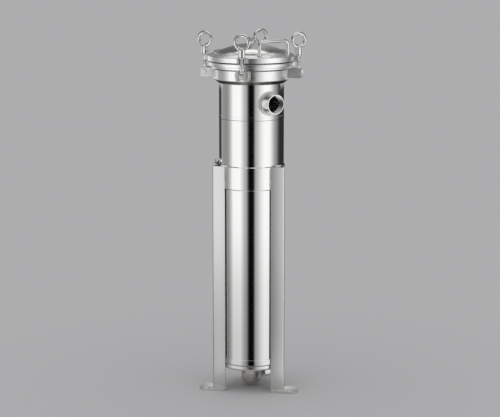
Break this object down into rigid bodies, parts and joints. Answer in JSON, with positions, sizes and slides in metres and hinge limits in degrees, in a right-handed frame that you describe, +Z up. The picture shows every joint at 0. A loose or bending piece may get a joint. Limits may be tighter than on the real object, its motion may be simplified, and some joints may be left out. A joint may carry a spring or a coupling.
{
  "type": "bag filter housing",
  "caption": "Polished stainless bag filter housing on angle legs, with a swing-bolted dished lid, a side inlet and a bottom outlet.",
  "frame": {"origin": "on the vessel's axis at floor level, the centre of the anchor hole circle on the feet's underside", "axes": "+Z up along the vessel's axis, -Y the front, +X the side that the inlet leans to"},
  "size_m": [0.3658, 0.3532, 1.2247],
  "materials": {
    "mirror_steel": "mirror-polished stainless steel",
    "satin_steel": "satin stainless sheet and bar",
    "cast_steel": "tumbled investment casting",
    "bright_fasteners": "bright turned stainless",
    "black_rubber": "moulded rubber",
    "white_felt": "needle felt",
    "bag_ring_plastic": "moulded plastic"
  },
  "bodies": {
    "housing": {"bag_collar": "bag_ring_plastic", "basket": "satin_steel", "basket_seat": "satin_steel", "body_flange": "mirror_steel", "bolt_lug_front": "cast_steel", "bolt_lug_left": "cast_steel", "bolt_lug_rear": "cast_steel", "bolt_lug_right": "cast_steel", "bottom_head": "mirror_steel", "bottom_ring": "mirror_steel", "collar": "mirror_steel", "filter_bag": "white_felt", "foot_left": "satin_steel", "foot_rear": "satin_steel", "foot_right": "satin_steel", "hold_down_bail": "satin_steel", "hold_down_ring": "satin_steel", "inlet_pad": "mirror_steel", "inlet_socket": "mirror_steel", "leg_band": "mirror_steel", "leg_left": "satin_steel", "leg_rear": "satin_steel", "leg_right": "satin_steel", "lid": "mirror_steel", "lid_handle": "mirror_steel", "lid_seal": "black_rubber", "lid_tab_front": "cast_steel", "lid_tab_left": "cast_steel", "lid_tab_rear": "cast_steel", "lid_tab_right": "cast_steel", "lower_shell": "mirror_steel", "outlet_socket": "satin_steel", "pivot_pins": "bright_fasteners", "side_coupling": "mirror_steel", "side_plug": "satin_steel", "upper_shell": "mirror_steel", "vent_body": "bright_fasteners", "vent_boss": "mirror_steel"},
    "bolt_front": {"swing_bolt_front": "bright_fasteners"},
    "washer_front": {"washer_front": "bright_fasteners"},
    "nut_front": {"ring_nut_front": "cast_steel"},
    "bolt_right": {"swing_bolt_right": "bright_fasteners"},
    "washer_right": {"washer_right": "bright_fasteners"},
    "nut_right": {"ring_nut_right": "cast_steel"},
    "bolt_rear": {"swing_bolt_rear": "bright_fasteners"},
    "washer_rear": {"washer_rear": "bright_fasteners"},
    "nut_rear": {"ring_nut_rear": "cast_steel"},
    "bolt_left": {"swing_bolt_left": "bright_fasteners"},
    "washer_left": {"washer_left": "bright_fasteners"},
    "nut_left": {"ring_nut_left": "cast_steel"},
    "vent_screw": {"vent_screw": "bright_fasteners"}
  },
  "joints": [
    {"name": "swing_front", "type": "hinge", "parent": "housing", "child": "bolt_front", "pos_m": [-0.03136, -0.15695, 1.088], "axis": [0.9806, -0.1959, 0], "range_deg": [0, 100]},
    {"name": "washer_front_rise", "type": "slide", "parent": "bolt_front", "child": "washer_front", "axis": [0, 0, 1], "range_m": [0, 0.00525]},
    {"name": "nut_front_turn", "type": "hinge", "parent": "washer_front", "child": "nut_front", "pos_m": [-0.03136, -0.15695, 1.149], "axis": [0, 0, 1], "range_deg": [0, 1080]},
    {"name": "swing_right", "type": "hinge", "parent": "housing", "child": "bolt_right", "pos_m": [0.15695, -0.03136, 1.088], "axis": [0.1959, 0.9806, 0], "range_deg": [0, 100]},
    {"name": "washer_right_rise", "type": "slide", "parent": "bolt_right", "child": "washer_right", "axis": [0, 0, 1], "range_m": [0, 0.00525]},
    {"name": "nut_right_turn", "type": "hinge", "parent": "washer_right", "child": "nut_right", "pos_m": [0.15695, -0.03136, 1.149], "axis": [0, 0, 1], "range_deg": [0, 1080]},
    {"name": "swing_rear", "type": "hinge", "parent": "housing", "child": "bolt_rear", "pos_m": [0.03136, 0.15695, 1.088], "axis": [-0.9806, 0.1959, 0], "range_deg": [0, 100]},
    {"name": "washer_rear_rise", "type": "slide", "parent": "bolt_rear", "child": "washer_rear", "axis": [0, 0, 1], "range_m": [0, 0.00525]},
    {"name": "nut_rear_turn", "type": "hinge", "parent": "washer_rear", "child": "nut_rear", "pos_m": [0.03136, 0.15695, 1.149], "axis": [0, 0, 1], "range_deg": [0, 1080]},
    {"name": "swing_left", "type": "hinge", "parent": "housing", "child": "bolt_left", "pos_m": [-0.15695, 0.03136, 1.088], "axis": [-0.1959, -0.9806, 0], "range_deg": [0, 100]},
    {"name": "washer_left_rise", "type": "slide", "parent": "bolt_left", "child": "washer_left", "axis": [0, 0, 1], "range_m": [0, 0.00525]},
    {"name": "nut_left_turn", "type": "hinge", "parent": "washer_left", "child": "nut_left", "pos_m": [-0.15695, 0.03136, 1.149], "axis": [0, 0, 1], "range_deg": [0, 1080]},
    {"name": "vent_turn", "type": "hinge", "parent": "housing", "child": "vent_screw", "pos_m": [0, 0, 1.19], "axis": [0, 0, 1], "range_deg": [0, 720]}
  ],
  "couplings": [
    {"joint": "washer_front_rise", "follows": "nut_front_turn", "m_per_rad": 0.00027852},
    {"joint": "washer_right_rise", "follows": "nut_right_turn", "m_per_rad": 0.00027852},
    {"joint": "washer_rear_rise", "follows": "nut_rear_turn", "m_per_rad": 0.00027852},
    {"joint": "washer_left_rise", "follows": "nut_left_turn", "m_per_rad": 0.00027852}
  ]
}
